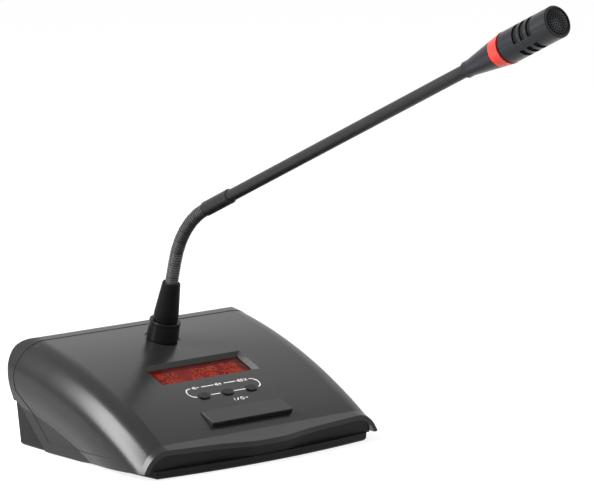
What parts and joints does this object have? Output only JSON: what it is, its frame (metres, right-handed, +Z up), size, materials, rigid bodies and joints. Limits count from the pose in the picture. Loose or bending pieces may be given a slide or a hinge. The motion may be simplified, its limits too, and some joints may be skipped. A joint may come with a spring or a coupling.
{
  "type": "conference delegate unit",
  "caption": "Low sloped desk base with display, keys and wide speak bar, and a plug-in microphone on a gooseneck and long tube with a light ring",
  "frame": {"origin": "on the table, under the middle of the case, in the plane of the feet", "axes": "+X to the user's right, -Y towards the user, +Z up from the table"},
  "size_m": [0.187, 0.3818, 0.2945],
  "materials": {
    "shell": "satin dark grey moulding",
    "housing": "fine matt black moulding",
    "rubber": "matt black rubber",
    "steel": "zinc plated steel",
    "panel": "black powder coat",
    "board": "green solder mask",
    "chip": "black moulded package",
    "capacitor": "sleeved can",
    "window": "dark red lens",
    "glass": "display glass",
    "light": "diffuser",
    "key": "matt black cap",
    "bar": "satin black cap",
    "socket": "black moulding",
    "gold": "gold plated contact",
    "metal_black": "black anodised",
    "neck": "black lacquered steel",
    "tube": "dark satin lacquer",
    "ring": "translucent coral red",
    "lamp": "clear epoxy",
    "foam": "black foam",
    "mesh": "black perforated sheet",
    "capsule": "plain can"
  },
  "bodies": {
    "base": {"top_shell": "shell", "bottom_housing": "housing", "feet": "rubber", "case_screws": "steel", "ballast_plate": "steel", "ballast_screws": "steel", "main_board": "board", "board_pillars": "steel", "board_screws": "steel", "board_chips": "chip", "board_capacitors": "capacitor", "rear_panel": "panel", "panel_screws": "steel", "link_socket_shells": "steel", "link_socket_inserts": "socket", "link_socket_pins": "gold", "earphone_jack": "socket", "display_window": "window", "display_frame": "steel", "display_glass": "glass", "display_backlight": "light", "display_board": "board", "display_screws": "steel", "control_board": "board", "control_screws": "steel", "control_switches": "chip", "mic_socket": "socket", "socket_insert": "socket", "socket_contacts": "gold", "socket_screws": "steel"},
    "left_key": {"left_key": "key"},
    "middle_key": {"middle_key": "key"},
    "right_key": {"right_key": "key"},
    "speak_bar": {"speak_bar": "bar"},
    "mic_plug": {"plug_housing": "metal_black", "plug_block": "socket", "plug_pins": "gold", "boot": "rubber", "neck_root": "neck"},
    "lock_collar": {"lock_collar": "metal_black"},
    "neck_1": {"neck_link_1": "neck"},
    "neck_2": {"neck_link_2": "neck"},
    "neck_3": {"neck_link_3": "neck"},
    "neck_4": {"neck_link_4": "neck"},
    "neck_5": {"neck_link_5": "neck"},
    "neck_6": {"neck_link_6": "neck"},
    "neck_7": {"neck_link_7": "neck"},
    "mic_arm": {"ferrule": "metal_black", "arm_tube": "tube", "head_cone": "metal_black", "light_ring": "ring", "lamp_board": "board", "lamps": "lamp", "head_spine": "capsule", "capsule_housing": "metal_black", "capsule_holder": "rubber", "capsule": "capsule", "foam_disc": "foam", "grille": "mesh"}
  },
  "joints": [
    {"name": "left_key_press", "type": "slide", "parent": "base", "child": "left_key", "axis": [0, 0.4871, -0.8734], "range_m": [0, 0.0005], "stiffness_N_per_m": 800, "springref_m": -0.0005},
    {"name": "middle_key_press", "type": "slide", "parent": "base", "child": "middle_key", "axis": [0, 0.4871, -0.8734], "range_m": [0, 0.0005], "stiffness_N_per_m": 800, "springref_m": -0.0005},
    {"name": "right_key_press", "type": "slide", "parent": "base", "child": "right_key", "axis": [0, 0.4871, -0.8734], "range_m": [0, 0.0005], "stiffness_N_per_m": 800, "springref_m": -0.0005},
    {"name": "speak_bar_press", "type": "slide", "parent": "base", "child": "speak_bar", "axis": [0, 0.4871, -0.8734], "range_m": [0, 0.0012], "stiffness_N_per_m": 600, "springref_m": -0.0008},
    {"name": "plug_lift", "type": "slide", "parent": "base", "child": "mic_plug", "axis": [0, -0.2504, 0.9681], "range_m": [0, 0.04]},
    {"name": "collar_turn", "type": "hinge", "parent": "mic_plug", "child": "lock_collar", "pos_m": [0, 0.03198, 0.0605], "axis": [0, -0.2504, 0.9681], "range_deg": [0, 540]},
    {"name": "bend_fore_1", "type": "hinge", "parent": "mic_plug", "child": "neck_1", "pos_m": [0, 0.02161, 0.10058], "axis": [1, 0, 0], "range_deg": [-10, 10]},
    {"name": "bend_side_1", "type": "hinge", "parent": "neck_1", "child": "neck_2", "pos_m": [0, 0.01952, 0.10864], "axis": [0, 0.9614, 0.2751], "range_deg": [-10, 10]},
    {"name": "bend_fore_2", "type": "hinge", "parent": "neck_2", "child": "neck_3", "pos_m": [0, 0.01703, 0.11658], "axis": [1, 0, 0], "range_deg": [-10, 10]},
    {"name": "bend_side_2", "type": "hinge", "parent": "neck_3", "child": "neck_4", "pos_m": [0, 0.01339, 0.12405], "axis": [0, 0.8633, 0.5047], "range_deg": [-10, 10]},
    {"name": "bend_fore_3", "type": "hinge", "parent": "neck_4", "child": "neck_5", "pos_m": [0, 0.00866, 0.1309], "axis": [1, 0, 0], "range_deg": [-10, 10]},
    {"name": "bend_side_3", "type": "hinge", "parent": "neck_5", "child": "neck_6", "pos_m": [0, 0.00296, 0.13695], "axis": [0, 0.6736, 0.7391], "range_deg": [-10, 10]},
    {"name": "bend_fore_4", "type": "hinge", "parent": "neck_6", "child": "neck_7", "pos_m": [0, -0.0036, 0.14207], "axis": [1, 0, 0], "range_deg": [-10, 10]},
    {"name": "bend_side_4", "type": "hinge", "parent": "neck_7", "child": "mic_arm", "pos_m": [0, -0.01085, 0.14615], "axis": [0, 0.4566, 0.8897], "range_deg": [-10, 10]}
  ]
}
